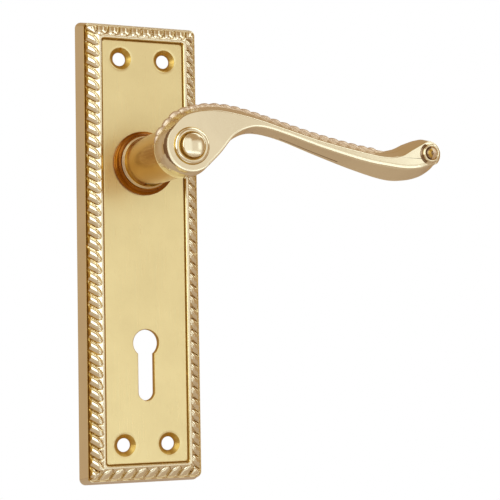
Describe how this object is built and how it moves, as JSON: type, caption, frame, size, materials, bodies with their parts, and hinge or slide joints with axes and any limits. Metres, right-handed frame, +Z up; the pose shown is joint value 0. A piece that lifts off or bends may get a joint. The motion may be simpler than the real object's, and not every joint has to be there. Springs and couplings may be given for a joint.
{
  "type": "lever handle lockset",
  "caption": "Sprung brass lever handle on a long backplate with a rope-pattern border, keyhole and countersunk screw holes, on a square spindle.",
  "frame": {"origin": "where the spindle axis meets the door face, which is the plane of the backplate's back rim", "axes": "+Y out of the back of the plate into the door, along the spindle; +Z up, along the plate; +X along the lever, to the right as seen from the front"},
  "size_m": [0.1054, 0.0968, 0.147],
  "materials": {
    "satin_brass": "satin, brushed lengthwise on the panel and polished on the rope border, clear lacquered",
    "polished_brass": "polished and clear lacquered",
    "plated_steel": "bright zinc plated",
    "spring_steel": "oiled dark spring steel",
    "nylon": "natural moulded nylon"
  },
  "bodies": {
    "plate": {"backplate": "satin_brass", "neck_collar": "polished_brass", "bearing_bush": "nylon", "thrust_washer": "plated_steel", "stop_pin_rest": "plated_steel", "stop_pin_down": "plated_steel", "spring_anchor_pin": "plated_steel", "return_spring": "spring_steel"},
    "lever": {"lever_handle": "polished_brass", "drive_washer": "plated_steel", "circlip": "spring_steel", "grub_screw": "spring_steel", "spindle": "plated_steel"}
  },
  "joints": [
    {"name": "lever_turn", "type": "hinge", "parent": "plate", "child": "lever", "pos_m": [0, 0, 0], "axis": [0, 1, 0], "range_deg": [0, 45], "stiffness_Nm_per_rad": 0.9, "springref_deg": -14.32, "deforming": ["return_spring"]}
  ]
}
